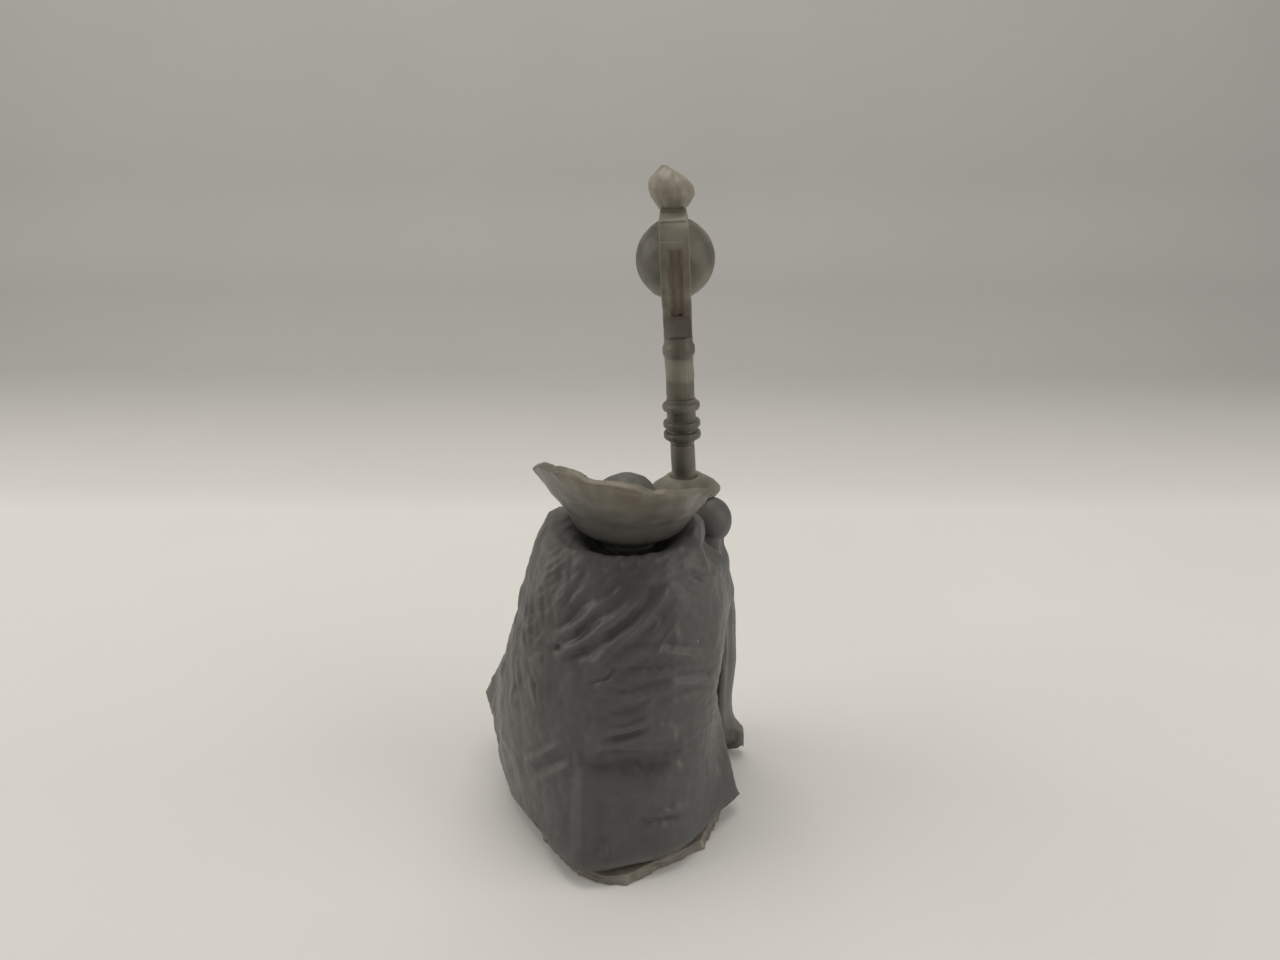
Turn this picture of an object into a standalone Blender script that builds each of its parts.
"""Hooded acolyte figurine: a small resin figure in a long robe and a swept cloak, with a processional staff.

The figure is a kit of cast pieces that are located by pegs, bores and seats and then glued.
Metres, +Z up. The figure faces -Y, its own left hand is at +X, and the origin lies under the base plate.
"""

import math

import bmesh
import bpy
import numpy as np
from mathutils import Matrix, Vector
from mathutils.bvhtree import BVHTree

# Clearances: the glue line round every seat, the staff's room in its bores, and how near points are welded.
GLUE_GAP = 0.00015
STAFF_GAP = 0.00012
WELD = 0.000001

# Base plate: a thin ragged plate under the hem, given by the corners of its underside.
PLATE_THICKNESS = 0.0010
PLATE_DRAFT = 0.0004
PLATE_CORNERS = (
    (-0.0104, 0.0030),
    (-0.0101, -0.0020),
    (-0.0094, -0.0064),
    (-0.0080, -0.0106),
    (-0.0046, -0.0133),
    (0.0004, -0.0132),
    (0.0050, -0.0118),
    (0.0086, -0.0086),
    (0.0109, -0.0042),
    (0.0119, 0.0002),
    (0.0110, 0.0036),
    (0.0081, 0.0078),
    (0.0046, 0.0120),
    (0.0011, 0.0146),
    (-0.0012, 0.0151),
    (-0.0037, 0.0149),
    (-0.0066, 0.0117),
    (-0.0096, 0.0085),
    (-0.0099, 0.0066),
)
FOOT_PEG_RADIUS = 0.0010
FOOT_PEG_SPREAD = 0.0040

# Robe: a belted gown that flares to the plate.
SPINE_Y = -0.0010
HEM_HALF_WIDTH = 0.0084
HEM_FRONT_DEPTH = 0.0078
HEM_BACK_DEPTH = 0.0096
WAIST_HEIGHT = 0.0186
WAIST_HALF_WIDTH = 0.0044
WAIST_HALF_DEPTH = 0.0036
ROBE_FOLDS = 9
ROBE_FOLD_DEPTH = 0.0008
WAIST_PEG_RADIUS = 0.0018
WAIST_PEG_LENGTH = 0.0014

# Torso: chest, shoulders and the seat of the neck. Drops are measured down from the neck's seat.
NECK_SEAT_HEIGHT = 0.0282
NECK_SEAT_RADIUS = 0.0025
CHEST_DROP = 0.0046
CHEST_HALF_WIDTH = 0.0052
CHEST_HALF_DEPTH = 0.0039
SHOULDER_DROP = 0.0018
SHOULDER_HALF_WIDTH = 0.0058
SHOULDER_HALF_DEPTH = 0.0032
ARM_PEG_RADIUS = 0.0008
ARM_PEG_LENGTH = 0.0012

# Cloak: an open cape, given as rows of points from the left front edge, round the back, to the right one.
# The shoulder row holds x, y and the drop of that point below the neckline.
CLOAK_WALL = 0.0009
CLOAK_NECK_RADIUS = 0.0039
CLOAK_NECK_RISE = 0.0002
CLOAK_NECK_DIP = 0.0005
CLOAK_NECK_HALF_ANGLE = math.radians(118)
CLOAK_HEM_LIFT = 0.0006
CLOAK_FOLDS = 7
CLOAK_FOLD_DEPTH = 0.00045
CLOAK_COLUMNS = 33
CLOAK_ROWS = 17
CLOAK_SHOULDER_ROW = (
    (0.0084, -0.0017, 0.0001),
    (0.0080, 0.0016, 0.0010),
    (0.0051, 0.0053, 0.0016),
    (0.0000, 0.0064, 0.0018),
    (-0.0049, 0.0050, 0.0016),
    (-0.0069, 0.0015, 0.0010),
    (-0.0068, -0.0027, 0.0006),
)
CLOAK_ELBOW_ROW = (
    (0.0104, -0.0014, 0.0200),
    (0.0101, 0.0034, 0.0195),
    (0.0064, 0.0080, 0.0185),
    (0.0000, 0.0095, 0.0180),
    (-0.0058, 0.0078, 0.0185),
    (-0.0092, 0.0018, 0.0195),
    (-0.0097, -0.0042, 0.0208),
)
CLOAK_KNEE_ROW = (
    (0.0137, -0.0030, 0.0125),
    (0.0122, 0.0038, 0.0105),
    (0.0068, 0.0104, 0.0095),
    (0.0002, 0.0122, 0.0090),
    (-0.0058, 0.0104, 0.0092),
    (-0.0090, 0.0042, 0.0100),
    (-0.0084, -0.0034, 0.0108),
)
# The hem row holds x, y and the lift of that point above the resting hem.
CLOAK_HEM_ROW = (
    (0.0170, -0.0032, 0.0042),
    (0.0116, 0.0046, 0.0001),
    (0.0053, 0.0124, 0.0000),
    (0.0000, 0.0147, 0.0000),
    (-0.0053, 0.0130, 0.0000),
    (-0.0094, 0.0076, 0.0000),
    (-0.0119, 0.0018, 0.0000),
)

# Collar: a thin half bowl that stands behind the head and ends in two points.
COLLAR_WALL = 0.0007
COLLAR_FOOT_RADIUS = 0.0040
COLLAR_BACK_RADIUS = 0.0085
COLLAR_TIP_RADIUS = 0.0091
COLLAR_BACK_RISE = 0.0064
COLLAR_TIP_RISE = 0.0044
COLLAR_RIGHT_DROP = 0.0007
COLLAR_RIGHT_DRAW = 0.0005
COLLAR_HALF_ANGLE = math.radians(92)
COLLAR_COLUMNS = 29
COLLAR_ROWS = 7

# Head and hood.
HEAD_HALF_WIDTH = 0.0017
HEAD_HALF_DEPTH = 0.0020
HEAD_HALF_HEIGHT = 0.00225
HEAD_Y = -0.0011
HEAD_RISE = 0.00205
NECK_RADIUS = 0.0011
NECK_PEG_DEPTH = 0.0016
HOOD_WALL = 0.00045
HOOD_ROOM = 0.00025
HOOD_STRETCH_X = 1.15
HOOD_STRETCH_Y = 1.12
HOOD_CAPE_RADIUS = 0.0031
HOOD_FACE_HALF_WIDTH = 0.0015
HOOD_FACE_HALF_HEIGHT = 0.0021

# Arms: wide sleeves. Each arm runs from the shoulder by the elbow to the wrist.
ARM_REACH = 0.0058
ARM_FORWARD = 0.0010
ARM_DROP = 0.0025
ARM_BOW = 0.0003
RIGHT_ELBOW = (-0.0066, -0.0036, 0.0212)
RIGHT_WRIST = (-0.0062, -0.0080, 0.0258)
LEFT_ELBOW = (0.0070, -0.0034, WAIST_HEIGHT + 0.0016)
LEFT_WRIST = (0.0030, -0.0063, WAIST_HEIGHT + 0.0028)
UPPER_ARM_RADIUS = 0.0018
CUFF_RADIUS = 0.0022
RIGHT_SLEEVE_FLARE = 0.0048
RIGHT_SLEEVE_HEM = 0.0003
LEFT_SLEEVE_FLARE = 0.0003
LEFT_SLEEVE_HEM = WAIST_HEIGHT - 0.0046
SLEEVE_HOLLOW = 0.0016
SLEEVE_WALL = 0.0007
WRIST_RADIUS = 0.0010
WRIST_ROOT = 0.05

# Hands.
FIST_WIDTH = 0.0040
FIST_HEIGHT = 0.0029
PALM_LENGTH = 0.0026
PALM_WIDTH = 0.0021
PALM_THICKNESS = 0.0010

# Girdle round the waist, with two hanging ends.
GIRDLE_WIDTH = 0.0017
GIRDLE_THICKNESS = 0.0006
GIRDLE_KNOT = 0.0009
GIRDLE_END_LENGTH = 0.0085
GIRDLE_END_WIDTH = 0.0013
GIRDLE_END_SWAY = 0.0012

# Cloak clasp: a short chain between two bosses.
CLASP_BOSS_RADIUS = 0.0008
CLASP_CHAIN_RADIUS = 0.00035
CLASP_HALF_SPAN = 0.0036
CLASP_DROP = 0.0013

# Staff: it leans a little and stands on the plate. Heights are along the staff from its foot.
STAFF_FOOT = (-0.0049, -0.0100)
STAFF_LEAN_X = 0.0514
STAFF_LEAN_Y = 0.0137
SHAFT_RADIUS = 0.00122
FERRULE_RADIUS = 0.0016
FERRULE_LENGTH = 0.0030
FERRULE_SEAT = 0.0005
GUARD_HEIGHT = 0.0274
GUARD_RADIUS = 0.0037
GUARD_THICKNESS = 0.0018
GUARD_RIM = 0.0008
GUARD_NECK = 0.0006
KNOP_HEIGHT = 0.0333
KNOP_LENGTH = 0.0045
KNOP_RADIUS = 0.00146
KNOP_RING_RADIUS = 0.00187
NECK_PIECE_LENGTH = 0.0062
NECK_PIECE_RADIUS = 0.0014
NECK_RING_RADIUS = 0.00158
ORB_RADIUS = 0.0037
ORB_LIFT = 0.0073
YOKE_TURN = math.radians(12)
YOKE_HALF_WIDTH = 0.0015
YOKE_BAR = 0.0010
YOKE_SLOT = 0.0010
YOKE_FOOT_RADIUS = 0.00155
YOKE_CROWN_HEIGHT = 0.0008
YOKE_CROWN_RADIUS = 0.0013
FINIAL_CUP_RADIUS = 0.0020
FINIAL_HEIGHT = 0.0036
FINIAL_TIP_SHIFT = 0.0007
STAFF_PEG_RADIUS = 0.0007
STAFF_PEG_LENGTH = 0.0012

# Facets of round pieces.
TURN_STEPS = 20
BODY_SEGMENTS = 40
ARM_SEGMENTS = 16

# Linear colours of the resin: dark where a casting is thick, warmer and lighter where it is thin.
CLOAK_COLOUR = (0.080, 0.081, 0.079, 1.0)
ROBE_COLOUR = (0.088, 0.088, 0.085, 1.0)
SKIN_COLOUR = (0.105, 0.103, 0.096, 1.0)
COLLAR_COLOUR = (0.165, 0.156, 0.136, 1.0)
STAFF_COLOUR = (0.120, 0.115, 0.103, 1.0)
PLATE_COLOUR = (0.175, 0.160, 0.136, 1.0)
RESIN_ROUGHNESS = 0.45


for old in list(bpy.data.objects):
    bpy.data.objects.remove(old, do_unlink=True)

figure = bpy.data.collections.new("hooded_acolyte_figurine")
tools = bpy.data.collections.new("cutters")
for group in (figure, tools):
    bpy.context.scene.collection.children.link(group)


def resin(name, colour):
    """A satin resin of one colour."""
    material = bpy.data.materials.new(name)
    material.use_nodes = True
    shader = material.node_tree.nodes["Principled BSDF"]
    shader.inputs["Base Color"].default_value = colour
    shader.inputs["Roughness"].default_value = RESIN_ROUGHNESS
    shader.inputs["Metallic"].default_value = 0.0
    return material


cloak_resin = resin("cloak_resin", CLOAK_COLOUR)
robe_resin = resin("robe_resin", ROBE_COLOUR)
skin_resin = resin("skin_resin", SKIN_COLOUR)
collar_resin = resin("collar_resin", COLLAR_COLOUR)
staff_resin = resin("staff_resin", STAFF_COLOUR)
plate_resin = resin("plate_resin", PLATE_COLOUR)


def piece(name, mesh, material, parent=None):
    """A named part of the figure."""
    obj = bpy.data.objects.new(name, mesh)
    mesh.materials.clear()
    mesh.materials.append(material)
    obj.parent = parent
    figure.objects.link(obj)
    return obj


def cutter(name, mesh, parent=None):
    """A hidden tool for a Boolean."""
    obj = bpy.data.objects.new(name, mesh)
    obj.parent = parent
    obj.hide_render = True
    obj.display_type = "WIRE"
    tools.objects.link(obj)
    return obj


def boolean(target, tool, operation):
    modifier = target.modifiers.new(tool.name, "BOOLEAN")
    modifier.operation = operation
    modifier.object = tool


def cut(target, tool):
    boolean(target, tool, "DIFFERENCE")


def join(target, tool):
    boolean(target, tool, "UNION")


def evaluated_mesh(obj):
    """The mesh of an object with its modifiers, in world space."""
    bpy.context.view_layer.update()
    graph = bpy.context.evaluated_depsgraph_get()
    mesh = bpy.data.meshes.new_from_object(obj.evaluated_get(graph))
    mesh.transform(obj.matrix_world)
    return mesh


def grown(obj, gap):
    """A tool shaped as a finished piece with a clearance all round it."""
    mesh = evaluated_mesh(obj)
    normals = [vertex.normal.copy() for vertex in mesh.vertices]
    for vertex, normal in zip(mesh.vertices, normals):
        vertex.co += normal * gap
    return cutter(obj.name + "_room", mesh)


def make_room(target, *neighbours, gap=GLUE_GAP):
    """Cuts a piece back so that it clears its neighbours by the glue line."""
    for neighbour in neighbours:
        cut(target, grown(neighbour, gap))


def smooth_shaded(mesh, angle=math.radians(40)):
    mesh.shade_smooth()
    mesh.set_sharp_from_angle(angle=angle)
    return mesh


def loft(name, rings):
    """A closed mesh through rings of as many points each, with a fan of faces on both ends."""
    shape = bmesh.new()
    rows = [[shape.verts.new(point) for point in ring] for ring in rings]
    count = len(rows[0])
    for lower, upper in zip(rows, rows[1:]):
        for i in range(count):
            j = (i + 1) % count
            shape.faces.new((lower[i], lower[j], upper[j], upper[i]))
    for row in (rows[0], rows[-1]):
        middle = shape.verts.new(sum((vertex.co for vertex in row), Vector()) / count)
        for i in range(count):
            shape.faces.new((row[i], row[(i + 1) % count], middle))
    bmesh.ops.recalc_face_normals(shape, faces=shape.faces)
    mesh = bpy.data.meshes.new(name)
    shape.to_mesh(mesh)
    shape.free()
    return smooth_shaded(mesh)


def sheet(name, grid):
    """An open surface through a grid of points."""
    rows, columns = len(grid), len(grid[0])
    shape = bmesh.new()
    bmesh.ops.create_grid(shape, x_segments=columns - 1, y_segments=rows - 1, size=0.5)
    shape.verts.ensure_lookup_table()
    for vertex in shape.verts:
        column = round((vertex.co.x + 0.5) * (columns - 1))
        row = rows - 1 - round((vertex.co.y + 0.5) * (rows - 1))
        vertex.co = grid[row][column]
    mesh = bpy.data.meshes.new(name)
    shape.to_mesh(mesh)
    shape.free()
    return smooth_shaded(mesh)


def shell(obj, wall):
    """Thickens an open surface on its inner side."""
    modifier = obj.modifiers.new("wall", "SOLIDIFY")
    modifier.thickness = wall
    modifier.offset = -1.0


def rod(name, start, end, radius, segments=TURN_STEPS, parent=None):
    """A cylinder between two points, as a tool."""
    start, end = Vector(start), Vector(end)
    shape = bmesh.new()
    bmesh.ops.create_cone(
        shape, cap_ends=True, segments=segments, radius1=radius, radius2=radius, depth=(end - start).length
    )
    turn = (end - start).to_track_quat("Z", "Y").to_matrix().to_4x4()
    bmesh.ops.transform(shape, matrix=Matrix.Translation((start + end) / 2) @ turn, verts=shape.verts)
    mesh = bpy.data.meshes.new(name)
    shape.to_mesh(mesh)
    shape.free()
    return cutter(name, smooth_shaded(mesh), parent)


def block(name, centre, size, parent=None):
    """A box, as a tool."""
    shape = bmesh.new()
    bmesh.ops.create_cube(shape, size=1.0)
    bmesh.ops.scale(shape, vec=size, verts=shape.verts)
    bmesh.ops.translate(shape, vec=centre, verts=shape.verts)
    mesh = bpy.data.meshes.new(name)
    shape.to_mesh(mesh)
    shape.free()
    return cutter(name, mesh, parent)


def soft_block(name, size, roundness=0.55):
    """A box of the given size drawn part of the way to a ball, centred on the origin."""
    shape = bmesh.new()
    bmesh.ops.create_cube(shape, size=1.0)
    bmesh.ops.subdivide_edges(shape, edges=shape.edges, cuts=3, use_grid_fill=True, smooth=0.0)
    for vertex in shape.verts:
        ball = vertex.co.normalized() * 0.5
        vertex.co = vertex.co.lerp(ball, roundness)
    longest = max(abs(vertex.co.x) for vertex in shape.verts)
    bmesh.ops.scale(shape, vec=Vector(size) / (2 * longest), verts=shape.verts)
    mesh = bpy.data.meshes.new(name)
    shape.to_mesh(mesh)
    shape.free()
    return smooth_shaded(mesh)


def welded(mesh):
    """The mesh with points that coincide made one."""
    shape = bmesh.new()
    shape.from_mesh(mesh)
    bmesh.ops.remove_doubles(shape, verts=shape.verts, dist=WELD)
    bmesh.ops.recalc_face_normals(shape, faces=shape.faces)
    shape.to_mesh(mesh)
    shape.free()
    return mesh


def turned(name, profile, steps=TURN_STEPS):
    """A mesh turned about Z from a profile of (radius, height) that runs from top to bottom."""
    outline = bpy.data.meshes.new(name)
    points = [(radius, 0.0, height) for radius, height in profile]
    outline.from_pydata(points, [(i, i + 1) for i in range(len(points) - 1)], [])
    lathe = bpy.data.objects.new(name, outline)
    tools.objects.link(lathe)
    screw = lathe.modifiers.new("turn", "SCREW")
    screw.steps = steps
    screw.render_steps = steps
    screw.use_merge_vertices = True
    screw.merge_threshold = WELD
    mesh = welded(evaluated_mesh(lathe))
    bpy.data.objects.remove(lathe)
    return smooth_shaded(mesh)


def ring_profile(bore, outline):
    """A turned profile closed along a bore: the outer line, then back up the bore."""
    (_, top), (_, bottom) = outline[0], outline[-1]
    return [(bore, top), *outline, (bore, bottom), (bore, top)]


def through(points, count):
    """Points on a smooth curve through the given points."""
    keys = np.array(points, float)
    keys = np.vstack([2 * keys[0] - keys[1], keys, 2 * keys[-1] - keys[-2]])
    found = []
    for at in np.linspace(0, len(points) - 1, count):
        i = min(int(at), len(points) - 2)
        t = at - i
        a, b, c, d = keys[i : i + 4]
        found.append(
            0.5 * (2 * b + (c - a) * t + (2 * a - 5 * b + 4 * c - d) * t**2 + (3 * b - a - 3 * c + d) * t**3)
        )
    return np.array(found)


# Base plate: a cast plate with a ragged rim, bored for the robe's two pegs and for the ferrule.
def plate_mesh():
    under = [Vector((x, y, 0.0)) for x, y in PLATE_CORNERS]
    middle = sum(under, Vector()) / len(under)
    upper = []
    for corner in under:
        inward = (middle - corner).normalized() * PLATE_DRAFT
        upper.append(corner + inward + Vector((0, 0, PLATE_THICKNESS)))
    mesh = loft("base_plate", [under, upper])
    mesh.shade_flat()
    return mesh


foot_pegs = [(side * FOOT_PEG_SPREAD, SPINE_Y) for side in (1, -1)]
base_plate = piece("base_plate", plate_mesh(), plate_resin)
for number, (x, y) in enumerate(foot_pegs):
    hole = rod(
        f"foot_hole_{number}",
        (x, y, -PLATE_THICKNESS),
        (x, y, 2 * PLATE_THICKNESS),
        FOOT_PEG_RADIUS + GLUE_GAP,
    )
    cut(base_plate, hole)


# Cloak: rows from the neckline to the hem, smoothed both ways, with hanging folds that deepen downwards.
hem_height = PLATE_THICKNESS + CLOAK_HEM_LIFT
cloak_neck = NECK_SEAT_HEIGHT + CLOAK_NECK_RISE


def neck_point(share):
    """A point of the cloak's neckline, from the left front (share 0) to the right front (share 1)."""
    angle = CLOAK_NECK_HALF_ANGLE * (1 - 2 * share)
    forward = max(0.0, -math.cos(angle))
    return (
        CLOAK_NECK_RADIUS * math.sin(angle),
        SPINE_Y + CLOAK_NECK_RADIUS * math.cos(angle),
        cloak_neck - CLOAK_NECK_DIP * forward,
    )


def cloak_grid():
    columns = len(CLOAK_HEM_ROW)
    rows = [
        [neck_point(i / (columns - 1)) for i in range(columns)],
        [(x, y, cloak_neck - drop) for x, y, drop in CLOAK_SHOULDER_ROW],
        CLOAK_ELBOW_ROW,
        CLOAK_KNEE_ROW,
        [(x, y, hem_height + lift) for x, y, lift in CLOAK_HEM_ROW],
    ]
    across = [through(row, CLOAK_COLUMNS) for row in rows]
    down = np.array([through([row[i] for row in across], CLOAK_ROWS) for i in range(CLOAK_COLUMNS)])
    grid = down.transpose(1, 0, 2)
    axis = np.array([0.0, SPINE_Y, 0.0])
    for j in range(CLOAK_ROWS):
        fall = j / (CLOAK_ROWS - 1)
        for i in range(CLOAK_COLUMNS):
            share = i / (CLOAK_COLUMNS - 1)
            outward = (grid[j, i] - axis) * (1, 1, 0)
            outward /= np.linalg.norm(outward)
            edge = math.sin(math.pi * share) ** 0.5
            wave = math.cos(2 * math.pi * (CLOAK_FOLDS / 2 * share + 0.35 * fall))
            grid[j, i] += outward * CLOAK_FOLD_DEPTH * wave * edge * fall**0.7
    return grid


cloak = piece("cloak", sheet("cloak", cloak_grid()), cloak_resin)
shell(cloak, CLOAK_WALL)
cloak_walls = BVHTree.FromPolygons(
    [vertex.co for vertex in evaluated_mesh(cloak).vertices],
    [polygon.vertices for polygon in evaluated_mesh(cloak).polygons],
)


def inside_cloak(point):
    """Draws a point of the body in towards the spine until it clears the cloak."""
    centre = Vector((0.0, SPINE_Y, point.z))
    outward = point - centre
    reach = outward.length
    found = cloak_walls.ray_cast(centre, outward.normalized(), reach + 4 * GLUE_GAP)
    if found[0] is None:
        return point
    return centre + outward.normalized() * min(reach, found[3] - 3 * GLUE_GAP)


def body_ring(height, half_width, front, back, fold=0.0):
    """A ring of the robe: a half ellipse in front and one behind, waved by folds, kept clear of the cloak."""
    ring = []
    for i in range(BODY_SEGMENTS):
        angle = 2 * math.pi * i / BODY_SEGMENTS
        depth = back if math.sin(angle) > 0 else front
        swell = 1 + fold * math.cos(ROBE_FOLDS * angle + math.pi / 2) / half_width
        x = half_width * math.cos(angle) * swell
        y = SPINE_Y + depth * math.sin(angle) * swell
        ring.append(inside_cloak(Vector((x, y, height))))
    return ring


# Robe skirt: from the plate to the waist, with hanging folds. Its pegs stand in the plate.
def skirt_mesh():
    bottom = PLATE_THICKNESS + GLUE_GAP
    rings = []
    for share in np.linspace(0, 1, 10):
        flare = (1 - share) ** 1.6
        rings.append(
            body_ring(
                bottom + (WAIST_HEIGHT - bottom) * share,
                WAIST_HALF_WIDTH + (HEM_HALF_WIDTH - WAIST_HALF_WIDTH) * flare,
                WAIST_HALF_DEPTH + (HEM_FRONT_DEPTH - WAIST_HALF_DEPTH) * flare,
                WAIST_HALF_DEPTH + (HEM_BACK_DEPTH - WAIST_HALF_DEPTH) * flare,
                ROBE_FOLD_DEPTH * (0.15 + 0.85 * (1 - share)),
            )
        )
    return loft("robe_skirt", rings)


robe_skirt = piece("robe_skirt", skirt_mesh(), robe_resin)
for number, (x, y) in enumerate(foot_pegs):
    join(robe_skirt, rod(f"foot_peg_{number}", (x, y, GLUE_GAP), (x, y, 3 * PLATE_THICKNESS), FOOT_PEG_RADIUS))
waist_socket = rod(
    "waist_socket",
    (0.0, SPINE_Y, WAIST_HEIGHT - WAIST_PEG_LENGTH - GLUE_GAP),
    (0.0, SPINE_Y, WAIST_HEIGHT + WAIST_PEG_LENGTH),
    WAIST_PEG_RADIUS + GLUE_GAP,
)
cut(robe_skirt, waist_socket)


# Torso: chest and shoulders, pegged into the skirt, bored for the neck and for both arms.
def torso_mesh():
    bottom = WAIST_HEIGHT + GLUE_GAP
    chest = NECK_SEAT_HEIGHT - CHEST_DROP
    shoulders = NECK_SEAT_HEIGHT - SHOULDER_DROP
    rings = [
        body_ring(bottom, WAIST_HALF_WIDTH, WAIST_HALF_DEPTH, WAIST_HALF_DEPTH, 0.15 * ROBE_FOLD_DEPTH),
        body_ring(
            (bottom + chest) / 2,
            (WAIST_HALF_WIDTH + CHEST_HALF_WIDTH) / 2,
            (WAIST_HALF_DEPTH + CHEST_HALF_DEPTH) / 2 + 0.2 * ROBE_FOLD_DEPTH,
            (WAIST_HALF_DEPTH + CHEST_HALF_DEPTH) / 2,
            0.3 * ROBE_FOLD_DEPTH,
        ),
        body_ring(chest, CHEST_HALF_WIDTH, CHEST_HALF_DEPTH, CHEST_HALF_DEPTH, 0.15 * ROBE_FOLD_DEPTH),
        body_ring(shoulders, SHOULDER_HALF_WIDTH, SHOULDER_HALF_DEPTH, SHOULDER_HALF_DEPTH),
        body_ring(
            (shoulders + NECK_SEAT_HEIGHT) / 2,
            (SHOULDER_HALF_WIDTH + NECK_SEAT_RADIUS) / 2,
            (SHOULDER_HALF_DEPTH + NECK_SEAT_RADIUS) / 2,
            (SHOULDER_HALF_DEPTH + NECK_SEAT_RADIUS) / 2,
        ),
        body_ring(NECK_SEAT_HEIGHT, NECK_SEAT_RADIUS, NECK_SEAT_RADIUS, NECK_SEAT_RADIUS),
    ]
    return loft("robe_torso", rings)


robe_torso = piece("robe_torso", torso_mesh(), robe_resin)
make_room(robe_torso, cloak)
waist_peg = rod(
    "waist_peg",
    (0.0, SPINE_Y, WAIST_HEIGHT - WAIST_PEG_LENGTH),
    (0.0, SPINE_Y, WAIST_HEIGHT + WAIST_PEG_LENGTH),
    WAIST_PEG_RADIUS,
)
join(robe_torso, waist_peg)
neck_bottom = NECK_SEAT_HEIGHT - NECK_PEG_DEPTH
head_height = NECK_SEAT_HEIGHT + HEAD_RISE
neck_socket = rod(
    "neck_socket",
    (0.0, HEAD_Y, neck_bottom - GLUE_GAP),
    (0.0, HEAD_Y, NECK_SEAT_HEIGHT + NECK_PEG_DEPTH),
    NECK_RADIUS + GLUE_GAP,
)
cut(robe_torso, neck_socket)


arm_height = NECK_SEAT_HEIGHT - ARM_DROP
right_shoulder = Vector((-ARM_REACH, SPINE_Y - ARM_FORWARD, arm_height))
left_shoulder = Vector((ARM_REACH, SPINE_Y - ARM_FORWARD, arm_height))


def arm_peg_line(shoulder):
    """The inner and the outer end of an arm's level peg, from inside the torso to the shoulder's middle."""
    side = math.copysign(1.0, shoulder.x)
    inner = Vector((side * (SHOULDER_HALF_WIDTH - UPPER_ARM_RADIUS - ARM_PEG_LENGTH), shoulder.y, shoulder.z))
    return inner, shoulder


# Girdle: a band round the waist with a knot in front and two hanging ends.
def girdle_ring(height, grow):
    return [
        Vector(
            (
                (WAIST_HALF_WIDTH + grow) * math.cos(angle),
                SPINE_Y + (WAIST_HALF_DEPTH + grow) * math.sin(angle),
                height,
            )
        )
        for angle in np.linspace(0, 2 * math.pi, BODY_SEGMENTS, endpoint=False)
    ]


low, high = WAIST_HEIGHT - GIRDLE_WIDTH / 2, WAIST_HEIGHT + GIRDLE_WIDTH / 2
band_rings = [girdle_ring(low, GIRDLE_THICKNESS), girdle_ring(WAIST_HEIGHT, 1.6 * GIRDLE_THICKNESS)]
band_rings.append(girdle_ring(high, GIRDLE_THICKNESS))
girdle = piece("girdle", loft("girdle", band_rings), robe_resin)
make_room(girdle, robe_skirt, robe_torso)
core_low, core_high = low - GIRDLE_WIDTH, high + GIRDLE_WIDTH
cut(girdle, rod("waist_core", (0, SPINE_Y, core_low), (0, SPINE_Y, core_high), WAIST_HALF_DEPTH))
knot_y = SPINE_Y - WAIST_HALF_DEPTH - 1.4 * GIRDLE_THICKNESS
knot_mesh = soft_block("girdle_knot", (2 * GIRDLE_KNOT, 1.6 * GIRDLE_KNOT, 2 * GIRDLE_KNOT))
knot_mesh.transform(Matrix.Translation((0, knot_y, WAIST_HEIGHT)))
join(girdle, cutter("girdle_knot", knot_mesh))
skirt_front = evaluated_mesh(robe_skirt)
skirt_front = BVHTree.FromPolygons(
    [vertex.co for vertex in skirt_front.vertices], [polygon.vertices for polygon in skirt_front.polygons]
)


def girdle_end(name, sway):
    """A strip that hangs from the knot and lies just clear of the skirt's front."""
    rings = []
    for share in np.linspace(0, 1, 8):
        height = WAIST_HEIGHT - share * GIRDLE_END_LENGTH
        middle = sway * (0.3 + 0.7 * share)
        half = GIRDLE_END_WIDTH * (0.35 + 0.15 * share)
        hits = []
        for x in (middle - half, middle, middle + half):
            start = Vector((x, SPINE_Y - 2 * HEM_FRONT_DEPTH, height - GLUE_GAP))
            found = skirt_front.ray_cast(start, Vector((0, 1, 0)))
            hits.append(found[0].y)
        back = min(hits) - GLUE_GAP
        front = back - 0.8 * GIRDLE_THICKNESS
        rings.append(
            [
                Vector((middle + half, back, height)),
                Vector((middle - half, back, height)),
                Vector((middle - half, front, height)),
                Vector((middle + half, front, height)),
            ]
        )
    return cutter(name, loft(name, rings))


join(girdle, girdle_end("girdle_end_left", GIRDLE_END_SWAY))
join(girdle, girdle_end("girdle_end_right", -GIRDLE_END_SWAY))


# Sleeves: an upper arm joined to a wide cuff whose lower side hangs as a long drape, open at the wrist.
def drop_ring(centre, across, radius, hem, flare):
    """A section of a hanging sleeve: round above the arm, drawn down to the hem below it."""
    ring = []
    for i in range(ARM_SEGMENTS):
        angle = 2 * math.pi * i / ARM_SEGMENTS
        rise = math.sin(angle)
        aside = radius * math.cos(angle)
        if rise >= 0:
            ring.append(centre + across * aside + Vector((0, 0, radius * rise)))
        else:
            fall = -rise
            narrow = 1 - 0.35 * fall
            outward = aside * narrow + flare * fall**2
            ring.append(centre + across * outward - Vector((0, 0, (centre.z - hem) * fall)))
    return ring


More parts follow.
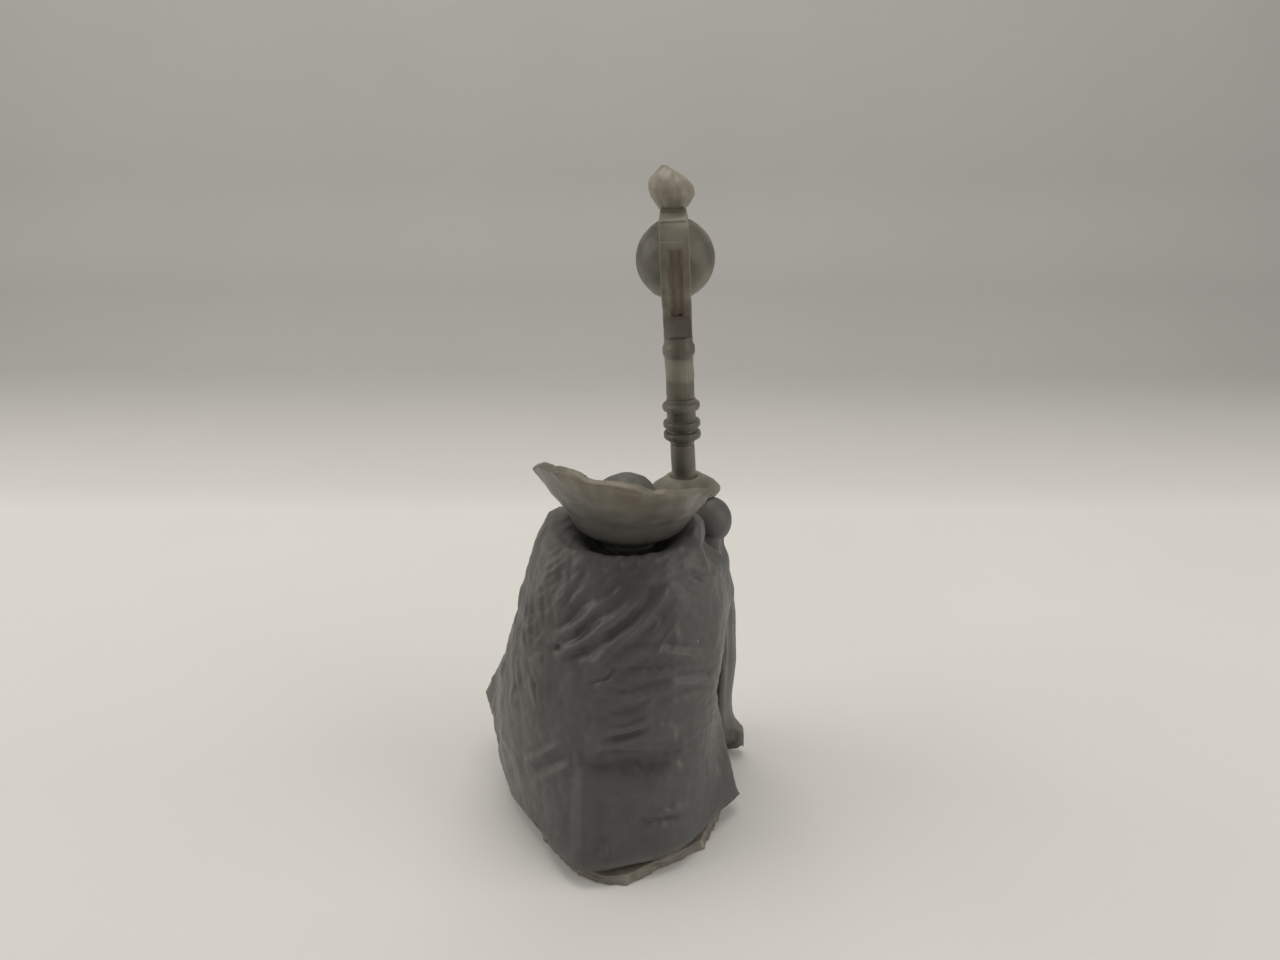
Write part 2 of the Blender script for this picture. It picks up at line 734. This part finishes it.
def sleeve(name, shoulder, elbow, wrist, hem, flare):
    elbow, wrist = Vector(elbow), Vector(wrist)
    forward = Vector((wrist.x - elbow.x, wrist.y - elbow.y, 0)).normalized()
    outside = math.copysign(1.0, shoulder.x)
    across = Vector((-forward.y, forward.x, 0))
    across *= outside * math.copysign(1.0, across.x)
    high_hem = elbow.z - UPPER_ARM_RADIUS
    stations = (
        (-0.15, 0.55, high_hem, 0.0),
        (0.08, 0.80, hem + 0.75 * (high_hem - hem), 0.2 * flare),
        (0.34, 0.92, hem + 0.30 * (high_hem - hem), 0.6 * flare),
        (0.66, 1.0, hem, flare),
        (0.92, 1.06, hem + 0.02 * (high_hem - hem), flare),
        (1.10, 1.0, hem + 0.30 * (high_hem - hem), 0.6 * flare),
    )
    rings = [
        drop_ring(elbow.lerp(wrist, share), across, CUFF_RADIUS * swell, low, out)
        for share, swell, low, out in stations
    ]
    obj = piece(name, loft(name, rings), robe_resin)
    arm_rings = []
    for point in through([shoulder, (shoulder + elbow) / 2 + Vector((outside * ARM_BOW, 0, 0)), elbow], 6):
        arm_rings.append(
            [
                Vector(point) + UPPER_ARM_RADIUS * Vector((math.cos(a), math.sin(a), 0))
                for a in np.linspace(0, 2 * math.pi, ARM_SEGMENTS, endpoint=False)
            ]
        )
    top = [Vector(point) for point in arm_rings[0]]
    cap = [shoulder + Vector((0, 0, 0.5 * UPPER_ARM_RADIUS)) + (p - shoulder) * 0.45 for p in top]
    join(obj, cutter(name + "_upper_arm", loft(name + "_upper_arm", [cap, *arm_rings])))
    mouth_rings = []
    for share in (1 - SLEEVE_HOLLOW / (wrist - elbow).length, 1.3):
        middle = elbow.lerp(wrist, share)
        mouth_rings.append(drop_ring(middle, across, CUFF_RADIUS - SLEEVE_WALL, middle.z - CUFF_RADIUS, 0.0))
    cut(obj, cutter(name + "_mouth", loft(name + "_mouth", mouth_rings)))
    return obj


right_sleeve = sleeve(
    "right_sleeve", right_shoulder, RIGHT_ELBOW, RIGHT_WRIST, RIGHT_SLEEVE_HEM, RIGHT_SLEEVE_FLARE
)
left_sleeve = sleeve(
    "left_sleeve", left_shoulder, LEFT_ELBOW, LEFT_WRIST, LEFT_SLEEVE_HEM, LEFT_SLEEVE_FLARE
)
for arm in (right_sleeve, left_sleeve):
    make_room(arm, robe_torso, robe_skirt, cloak, girdle)
for arm, shoulder in ((right_sleeve, right_shoulder), (left_sleeve, left_shoulder)):
    inner, outer = arm_peg_line(shoulder)
    deeper = inner + (inner - outer).normalized() * GLUE_GAP
    join(arm, rod(arm.name + "_peg", inner, outer, ARM_PEG_RADIUS))
    cut(robe_torso, rod(arm.name + "_socket", deeper, outer, ARM_PEG_RADIUS + GLUE_GAP))


# Head: face, skull and neck in one piece, pegged into the torso.
head_mesh = soft_block("head", (2 * HEAD_HALF_WIDTH, 2 * HEAD_HALF_DEPTH, 2 * HEAD_HALF_HEIGHT), 0.9)
head_mesh.transform(Matrix.Translation((0, HEAD_Y, head_height)))
head = piece("head", head_mesh, skin_resin)
join(head, rod("neck", (0, HEAD_Y, neck_bottom), (0, HEAD_Y, head_height), NECK_RADIUS))


# Hood: a turned shell round the head with a face opening, spreading into a small cape at the neck.
def hood_profile():
    inner = HEAD_HALF_WIDTH + HOOD_ROOM
    outer = inner + HOOD_WALL
    top_inner = HEAD_HALF_HEIGHT + HOOD_ROOM
    top_outer = top_inner + HOOD_WALL
    foot = NECK_SEAT_HEIGHT + GLUE_GAP - head_height
    arcs = [math.radians(angle) for angle in (0, 18, 36, 54, 72, 90)]
    dome = [(outer * math.sin(a), top_outer * math.cos(a)) for a in arcs]
    cape = [(outer, 0.45 * foot), (HOOD_CAPE_RADIUS, foot + HOOD_WALL), (HOOD_CAPE_RADIUS, foot)]
    lining = [(inner, foot), (inner, 0.4 * foot)]
    roof = [(inner * math.sin(a), top_inner * math.cos(a)) for a in reversed(arcs)]
    return dome + cape + lining + roof


hood_mesh = turned("hood", hood_profile())
hood_fullness = Matrix.Diagonal((HOOD_STRETCH_X, HOOD_STRETCH_Y, 1, 1))
hood_mesh.transform(Matrix.Translation((0, HEAD_Y, head_height)) @ hood_fullness)
hood = piece("hood", hood_mesh, robe_resin)
face_size = (2 * HOOD_FACE_HALF_WIDTH, 4 * HEAD_HALF_DEPTH, 2 * HOOD_FACE_HALF_HEIGHT)
face_cut = soft_block("face_opening", face_size)
face_cut.transform(Matrix.Translation((0, HEAD_Y - 2 * HEAD_HALF_DEPTH, head_height - 0.1 * HEAD_HALF_HEIGHT)))
cut(hood, cutter("face_opening", face_cut))
make_room(hood, head)


# Collar: a thin half bowl that stands on the cloak's neckline, highest behind, with a point each side.
def collar_grid():
    foot = cloak_neck + GLUE_GAP
    grid = []
    for rise in np.linspace(0, 1, COLLAR_ROWS):
        row = []
        for share in np.linspace(1, -1, COLLAR_COLUMNS):
            angle = COLLAR_HALF_ANGLE * share
            rim = COLLAR_BACK_RADIUS + (COLLAR_TIP_RADIUS - COLLAR_BACK_RADIUS) * abs(share) ** 2
            lift = COLLAR_BACK_RISE + (COLLAR_TIP_RISE - COLLAR_BACK_RISE) * abs(share) ** 1.5
            if share < 0:
                rim -= COLLAR_RIGHT_DRAW * share**2
                lift -= COLLAR_RIGHT_DROP * share**2
            radius = COLLAR_FOOT_RADIUS + (rim - COLLAR_FOOT_RADIUS) * rise**0.85
            height = foot + lift * rise**1.35
            row.append((radius * math.sin(angle), SPINE_Y + radius * math.cos(angle), height))
        grid.append(row)
    return grid[::-1]


collar = piece("collar", sheet("collar", collar_grid()), collar_resin)
shell(collar, COLLAR_WALL)
make_room(collar, cloak)

# Staff: every piece is turned or built about its own axis, which leans from the foot.
staff_axis = bpy.data.objects.new("staff_axis", None)
figure.objects.link(staff_axis)
staff_axis.location = (*STAFF_FOOT, PLATE_THICKNESS - FERRULE_SEAT)
lean = Vector((STAFF_LEAN_X, STAFF_LEAN_Y, 1.0)).normalized()
staff_axis.rotation_euler = Vector((0, 0, 1)).rotation_difference(lean).to_euler()
bpy.context.view_layer.update()


def staff_tool(name, low, high, radius):
    """A cylinder along the staff's axis, as a tool."""
    return rod(name, (0, 0, low), (0, 0, high), radius, parent=staff_axis)


shaft_low = FERRULE_LENGTH / 2
knop_top = KNOP_HEIGHT + KNOP_LENGTH
yoke_foot = knop_top + NECK_PIECE_LENGTH
orb_height = yoke_foot + ORB_LIFT
yoke_top = orb_height + ORB_RADIUS

cut(base_plate, staff_tool("ferrule_seat", GLUE_GAP / 2, 3 * PLATE_THICKNESS, FERRULE_RADIUS + GLUE_GAP))
ferrule_profile = [
    (0, shaft_low - GLUE_GAP),
    (SHAFT_RADIUS + GLUE_GAP, shaft_low - GLUE_GAP),
    (SHAFT_RADIUS + GLUE_GAP, FERRULE_LENGTH),
    (FERRULE_RADIUS, 0.8 * FERRULE_LENGTH),
    (FERRULE_RADIUS, 3 * GLUE_GAP),
    (0, 3 * GLUE_GAP),
]
staff_ferrule = piece("staff_ferrule", turned("staff_ferrule", ferrule_profile), staff_resin, staff_axis)

shaft_profile = [
    (0, KNOP_HEIGHT + STAFF_PEG_LENGTH),
    (STAFF_PEG_RADIUS, KNOP_HEIGHT + STAFF_PEG_LENGTH),
    (STAFF_PEG_RADIUS, KNOP_HEIGHT - GLUE_GAP),
    (SHAFT_RADIUS, KNOP_HEIGHT - GLUE_GAP),
    (SHAFT_RADIUS, shaft_low),
    (0, shaft_low),
]
staff_shaft = piece("staff_shaft", turned("staff_shaft", shaft_profile), staff_resin, staff_axis)

guard_top = GUARD_HEIGHT + GUARD_THICKNESS
guard_outline = [
    (SHAFT_RADIUS + GUARD_NECK, guard_top),
    (GUARD_RADIUS - GUARD_RIM / 2, GUARD_HEIGHT + GUARD_RIM),
    (GUARD_RADIUS, GUARD_HEIGHT + GUARD_RIM / 2),
    (GUARD_RADIUS - GUARD_RIM / 2, GUARD_HEIGHT),
    (SHAFT_RADIUS + GUARD_NECK, GUARD_HEIGHT + GUARD_RIM / 4),
]
guard_mesh = turned("hand_guard", ring_profile(SHAFT_RADIUS + STAFF_GAP, guard_outline))
hand_guard = piece("hand_guard", guard_mesh, staff_resin, staff_axis)


# Knop: a drum with three rings, socketed on the shaft's peg and carrying a peg for the neck piece.
def knop_profile():
    points = [(0, knop_top + STAFF_PEG_LENGTH), (STAFF_PEG_RADIUS, knop_top + STAFF_PEG_LENGTH)]
    points += [(STAFF_PEG_RADIUS, knop_top), (KNOP_RADIUS, knop_top)]
    for share, half in ((0.84, 0.09), (0.44, 0.08), (0.19, 0.09)):
        middle, reach = KNOP_HEIGHT + share * KNOP_LENGTH, half * KNOP_LENGTH
        points += [(KNOP_RADIUS, middle + reach), (KNOP_RING_RADIUS, middle + reach / 2)]
        points += [(KNOP_RING_RADIUS, middle - reach / 2), (KNOP_RADIUS, middle - reach)]
    points += [(SHAFT_RADIUS, KNOP_HEIGHT), (STAFF_PEG_RADIUS + STAFF_GAP, KNOP_HEIGHT)]
    socket_top = KNOP_HEIGHT + STAFF_PEG_LENGTH + GLUE_GAP
    return points + [(STAFF_PEG_RADIUS + STAFF_GAP, socket_top), (0, socket_top)]


staff_knop = piece("staff_knop", turned("staff_knop", knop_profile()), staff_resin, staff_axis)

# Neck piece: a plain socket with a ring, between the knop and the yoke.
neck_low, neck_high = knop_top + GLUE_GAP, yoke_foot
peg_room = knop_top + STAFF_PEG_LENGTH + GLUE_GAP
neck_profile = [
    (0, neck_high + STAFF_PEG_LENGTH),
    (STAFF_PEG_RADIUS, neck_high + STAFF_PEG_LENGTH),
    (STAFF_PEG_RADIUS, neck_high),
    (NECK_PIECE_RADIUS, neck_high),
    (NECK_PIECE_RADIUS, neck_high - 0.10 * NECK_PIECE_LENGTH),
    (NECK_RING_RADIUS, neck_high - 0.16 * NECK_PIECE_LENGTH),
    (NECK_RING_RADIUS, neck_high - 0.26 * NECK_PIECE_LENGTH),
    (NECK_PIECE_RADIUS, neck_high - 0.32 * NECK_PIECE_LENGTH),
    (NECK_PIECE_RADIUS, neck_low),
    (STAFF_PEG_RADIUS + STAFF_GAP, neck_low),
    (STAFF_PEG_RADIUS + STAFF_GAP, peg_room),
    (0, peg_room),
]
staff_neck = piece("staff_neck", turned("staff_neck", neck_profile), staff_resin, staff_axis)


# Yoke: two slotted straps that pass before and behind the orb and meet above it in a small crown.
def yoke_outline():
    """The yoke seen from its side, as a closed ring of (y, z) points outside and inside the orb."""
    reach = ORB_RADIUS + GLUE_GAP + YOKE_BAR
    outside = [(YOKE_FOOT_RADIUS, yoke_foot + GLUE_GAP), (YOKE_FOOT_RADIUS, yoke_foot + 0.25 * ORB_LIFT)]
    outside += [
        (reach * math.cos(a), orb_height + reach * math.sin(a)) for a in np.radians((-48, -24, 0, 24, 48))
    ]
    outside += [(YOKE_CROWN_RADIUS, yoke_top + GLUE_GAP), (YOKE_CROWN_RADIUS, yoke_top + YOKE_CROWN_HEIGHT)]
    return outside + [(-y, z) for y, z in reversed(outside)]


def yoke_mesh():
    faces = [
        [Vector((side * YOKE_HALF_WIDTH, y, z)) for y, z in yoke_outline()] for side in (-1, 1)
    ]
    return loft("orb_yoke", faces)


yoke_turned = bpy.data.objects.new("yoke_turn", None)
figure.objects.link(yoke_turned)
yoke_turned.parent = staff_axis
yoke_turned.rotation_euler = (0, 0, YOKE_TURN)
bpy.context.view_layer.update()
orb_yoke = piece("orb_yoke", yoke_mesh(), staff_resin, yoke_turned)


def ball(name, radius, height):
    shape = bmesh.new()
    bmesh.ops.create_uvsphere(shape, u_segments=24, v_segments=14, radius=radius)
    bmesh.ops.translate(shape, vec=(0, 0, height), verts=shape.verts)
    mesh = bpy.data.meshes.new(name)
    shape.to_mesh(mesh)
    shape.free()
    return smooth_shaded(mesh)


cut(orb_yoke, cutter("orb_room", ball("orb_room", ORB_RADIUS + GLUE_GAP, orb_height), yoke_turned))
slot_low, slot_high = yoke_foot + 0.30 * ORB_LIFT, orb_height + 0.35 * ORB_RADIUS
slot_size = (YOKE_SLOT, 4 * ORB_RADIUS, slot_high - slot_low)
cut(orb_yoke, block("yoke_slot", (0, 0, (slot_low + slot_high) / 2), slot_size, yoke_turned))
socket_top = yoke_foot + STAFF_PEG_LENGTH + GLUE_GAP
socket_radius = STAFF_PEG_RADIUS + STAFF_GAP
cut(orb_yoke, staff_tool("yoke_socket", yoke_foot - GLUE_GAP, socket_top, socket_radius))
crown_top = yoke_top + YOKE_CROWN_HEIGHT
finial_peg_low = yoke_top + 2 * GLUE_GAP
cut(orb_yoke, staff_tool("finial_socket", orb_height, crown_top + STAFF_PEG_LENGTH, socket_radius))
orb = piece("orb", ball("orb", ORB_RADIUS, orb_height), staff_resin, staff_axis)


# Finial: a small cup with a leaning bud, pegged into the crown.
def finial_mesh():
    low = crown_top + GLUE_GAP
    stations = (
        (finial_peg_low, STAFF_PEG_RADIUS, 0.0),
        (low, STAFF_PEG_RADIUS, 0.0),
        (low, YOKE_CROWN_RADIUS, 0.0),
        (low + 0.30 * FINIAL_HEIGHT, FINIAL_CUP_RADIUS, 0.0),
        (low + 0.48 * FINIAL_HEIGHT, 0.92 * FINIAL_CUP_RADIUS, 0.15 * FINIAL_TIP_SHIFT),
        (low + 0.78 * FINIAL_HEIGHT, 0.50 * FINIAL_CUP_RADIUS, 0.6 * FINIAL_TIP_SHIFT),
        (low + FINIAL_HEIGHT, 0.12 * FINIAL_CUP_RADIUS, FINIAL_TIP_SHIFT),
    )
    rings = [
        [
            Vector((shift + radius * math.cos(a), radius * math.sin(a), height))
            for a in np.linspace(0, 2 * math.pi, TURN_STEPS, endpoint=False)
        ]
        for height, radius, shift in stations
    ]
    return loft("finial", rings)


finial = piece("finial", finial_mesh(), staff_resin, staff_axis)


# Right hand: a fist bored for the staff, with its wrist in the right sleeve.
def staff_point(height):
    """The staff's axis at a height above the floor."""
    foot = Vector((*STAFF_FOOT, PLATE_THICKNESS - FERRULE_SEAT))
    return foot + lean * ((height - foot.z) / lean.z)


fist_centre = staff_point(GUARD_HEIGHT + staff_axis.location.z - GLUE_GAP - FIST_HEIGHT / 2)
fist_mesh = soft_block("right_hand", (FIST_WIDTH, FIST_WIDTH, FIST_HEIGHT))
fist_mesh.transform(Matrix.Translation(fist_centre) @ lean.to_track_quat("Z", "Y").to_matrix().to_4x4())
right_hand = piece("right_hand", fist_mesh, skin_resin)
right_root = Vector(RIGHT_WRIST).lerp(Vector(RIGHT_ELBOW), WRIST_ROOT)
join(right_hand, rod("right_wrist", right_root, fist_centre, WRIST_RADIUS))
make_room(right_sleeve, hand_guard)
make_room(right_hand, right_sleeve, hand_guard)
cut(right_hand, staff_tool("fist_bore", GUARD_HEIGHT - 2 * FIST_HEIGHT, guard_top, SHAFT_RADIUS + STAFF_GAP))

# Left hand: an open palm laid on the chest, with its wrist in the left sleeve.
palm_reach = Vector(LEFT_WRIST) + (Vector(LEFT_WRIST) - Vector(LEFT_ELBOW)).normalized() * PALM_LENGTH
palm_mesh = soft_block("left_hand", (PALM_LENGTH, PALM_THICKNESS, PALM_WIDTH))
palm_mesh.transform(Matrix.Translation(palm_reach))
left_hand = piece("left_hand", palm_mesh, skin_resin)
left_root = Vector(LEFT_WRIST).lerp(Vector(LEFT_ELBOW), WRIST_ROOT)
join(left_hand, rod("left_wrist", left_root, palm_reach, 0.8 * WRIST_RADIUS))
make_room(left_hand, left_sleeve, robe_torso, girdle)

# Cloak clasp: two bosses on the cloak's front corners and a short chain across the chest.
clasp_y = SPINE_Y - SHOULDER_HALF_DEPTH
clasp_ends = [Vector((side * CLASP_HALF_SPAN, clasp_y, NECK_SEAT_HEIGHT)) for side in (1, -1)]
sag = Vector((0, SPINE_Y - CHEST_HALF_DEPTH - CLASP_CHAIN_RADIUS, NECK_SEAT_HEIGHT - CLASP_DROP))
line = bpy.data.curves.new("cloak_clasp", "CURVE")
line.dimensions = "3D"
line.bevel_depth = CLASP_CHAIN_RADIUS
line.bevel_resolution = 1
line.use_fill_caps = True
spline = line.splines.new("POLY")
chain_points = through([clasp_ends[0], sag, clasp_ends[1]], 11)
spline.points.add(len(chain_points) - 1)
for point, place in zip(spline.points, chain_points):
    point.co = (*place, 1.0)
chain_curve = cutter("cloak_clasp_line", line)
chain_mesh = welded(evaluated_mesh(chain_curve))
bpy.data.objects.remove(chain_curve)
cloak_clasp = piece("cloak_clasp", chain_mesh, robe_resin)
for number, end in enumerate(clasp_ends):
    boss = soft_block(f"clasp_boss_{number}", (2 * CLASP_BOSS_RADIUS,) * 3)
    boss.transform(Matrix.Translation(end))
    join(cloak_clasp, cutter(f"clasp_boss_{number}", boss))
make_room(cloak_clasp, cloak, robe_torso, hood)
